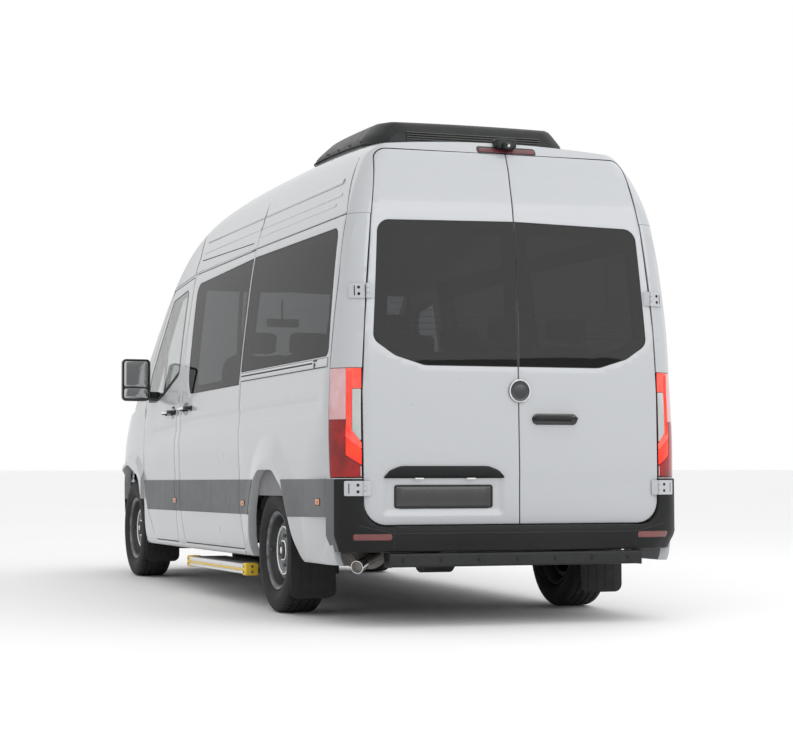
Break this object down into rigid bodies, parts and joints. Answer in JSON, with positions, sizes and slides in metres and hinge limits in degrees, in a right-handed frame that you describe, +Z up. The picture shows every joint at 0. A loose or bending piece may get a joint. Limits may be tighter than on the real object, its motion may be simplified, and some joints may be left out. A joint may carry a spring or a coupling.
{
  "type": "minibus",
  "caption": "High-roof passenger minibus with hinged cab and rear doors, steered front wheels, an extending side step and a roof cooling unit.",
  "frame": {"origin": "centre of the bounding box in plan, on the ground under the tyres", "axes": "+X forward towards the bonnet, +Y to the vehicle's left, +Z up; the body stands 0.8 degrees nose down on level ground as in the picture"},
  "size_m": [5.9339, 2.4712, 2.7803],
  "materials": {
    "black_plastic": "grained black",
    "body_paint": "silver-white metallic gloss paint",
    "cast": "rough casting",
    "clear_glass": "clear",
    "engine": "cast aluminium",
    "flap_rubber": "black rubber",
    "lamp_clear": "clear lens",
    "lamp_lens": "red and clear lens",
    "seat_fabric": "dark woven cloth",
    "steel_bare": "dull bare steel",
    "steel_dark": "black chassis paint",
    "steel_grey": "silver-grey wheel paint",
    "tinted_glass": "dark tint",
    "trim_plastic": "dark grained trim",
    "tyre": "black rubber"
  },
  "bodies": {
    "chassis": {"body_side_left": "body_paint", "body_side_right": "body_paint", "cowl": "black_plastic", "dashboard": "trim_plastic", "engine_block": "engine", "exhaust": "steel_bare", "floor_pan": "steel_dark", "front_bumper": "black_plastic", "front_suspension": "steel_dark", "front_wings": "body_paint", "grille": "black_plastic", "headlamps": "lamp_clear", "mud_flaps": "flap_rubber", "rear_axle": "steel_dark", "rear_bumper": "black_plastic", "roof": "body_paint", "roof_unit": "black_plastic", "seats": "seat_fabric", "side_windows": "tinted_glass", "sliding_door": "body_paint", "step_housing": "steel_dark", "tail_lamps": "lamp_lens", "underride_bar": "steel_dark", "windscreen": "clear_glass", "windscreen_frame": "body_paint"},
    "bonnet": {"bonnet": "body_paint"},
    "cab_door_left": {"cab_door_left": "body_paint", "cab_glass_left": "clear_glass", "mirror_left": "trim_plastic"},
    "cab_door_right": {"cab_door_right": "body_paint", "cab_glass_right": "clear_glass", "mirror_right": "trim_plastic"},
    "rear_door_left": {"rear_door_left": "body_paint", "rear_glass_left": "tinted_glass"},
    "rear_door_right": {"rear_door_right": "body_paint", "rear_glass_right": "tinted_glass"},
    "side_step": {"side_step": "black_plastic"},
    "knuckle_left": {"knuckle_left": "cast"},
    "knuckle_right": {"knuckle_right": "cast"},
    "wheel_front_left": {"rim_front_left": "steel_grey", "tyre_front_left": "tyre"},
    "wheel_front_right": {"rim_front_right": "steel_grey", "tyre_front_right": "tyre"},
    "wheel_rear_left": {"rim_rear_left": "steel_grey", "tyre_rear_left": "tyre"},
    "wheel_rear_right": {"rim_rear_right": "steel_grey", "tyre_rear_right": "tyre"},
    "steering_wheel": {"steering_wheel": "trim_plastic"}
  },
  "joints": [
    {"name": "cab_door_left_swing", "type": "hinge", "parent": "chassis", "child": "cab_door_left", "pos_m": [1.51508, 1.014, 0.75421], "axis": [-0.0142, 0, -0.9999], "range_deg": [0, 70]},
    {"name": "cab_door_right_swing", "type": "hinge", "parent": "chassis", "child": "cab_door_right", "pos_m": [1.51508, -1.014, 0.75421], "axis": [0.0142, 0, 0.9999], "range_deg": [0, 70]},
    {"name": "rear_door_left_swing", "type": "hinge", "parent": "chassis", "child": "rear_door_left", "pos_m": [-2.91389, 0.842, 0.71728], "axis": [-0.0404, 0.0262, -0.9988], "range_deg": [0, 180]},
    {"name": "rear_door_right_swing", "type": "hinge", "parent": "chassis", "child": "rear_door_right", "pos_m": [-2.91389, -0.842, 0.71728], "axis": [0.0404, 0.0262, 0.9988], "range_deg": [0, 180]},
    {"name": "bonnet_lift", "type": "hinge", "parent": "chassis", "child": "bonnet", "pos_m": [2.096, 0, 1.23599], "axis": [0, -1, 0], "range_deg": [0, 60]},
    {"name": "side_step_slide", "type": "slide", "parent": "chassis", "child": "side_step", "axis": [0, 1, 0], "range_m": [0, 0.2]},
    {"name": "steer_left", "type": "hinge", "parent": "chassis", "child": "knuckle_left", "pos_m": [1.96237, 0.782, 0.35], "axis": [0.0142, 0, 0.9999], "range_deg": [-32, 32]},
    {"name": "steer_right", "type": "hinge", "parent": "chassis", "child": "knuckle_right", "pos_m": [1.96237, -0.782, 0.35], "axis": [0.0142, 0, 0.9999], "range_deg": [-32, 32]},
    {"name": "steering_wheel_turn", "type": "hinge", "parent": "chassis", "child": "steering_wheel", "pos_m": [1.29595, -0.43, 1.09737], "axis": [-0.8762, 0, 0.482], "range_deg": [-520, 520]},
    {"name": "wheel_front_left_spin", "type": "hinge", "parent": "knuckle_left", "child": "wheel_front_left", "pos_m": [1.96237, 0.866, 0.35], "axis": [0, 1, 0], "continuous": true},
    {"name": "wheel_front_right_spin", "type": "hinge", "parent": "knuckle_right", "child": "wheel_front_right", "pos_m": [1.96237, -0.866, 0.35], "axis": [0, 1, 0], "continuous": true},
    {"name": "wheel_rear_left_spin", "type": "hinge", "parent": "chassis", "child": "wheel_rear_left", "pos_m": [-1.703, 0.858, 0.35], "axis": [0, 1, 0], "continuous": true},
    {"name": "wheel_rear_right_spin", "type": "hinge", "parent": "chassis", "child": "wheel_rear_right", "pos_m": [-1.703, -0.858, 0.35], "axis": [0, 1, 0], "continuous": true}
  ],
  "couplings": [
    {"joint": "steer_right", "follows": "steer_left", "ratio": 1},
    {"joint": "steering_wheel_turn", "follows": "steer_left", "ratio": 16}
  ]
}
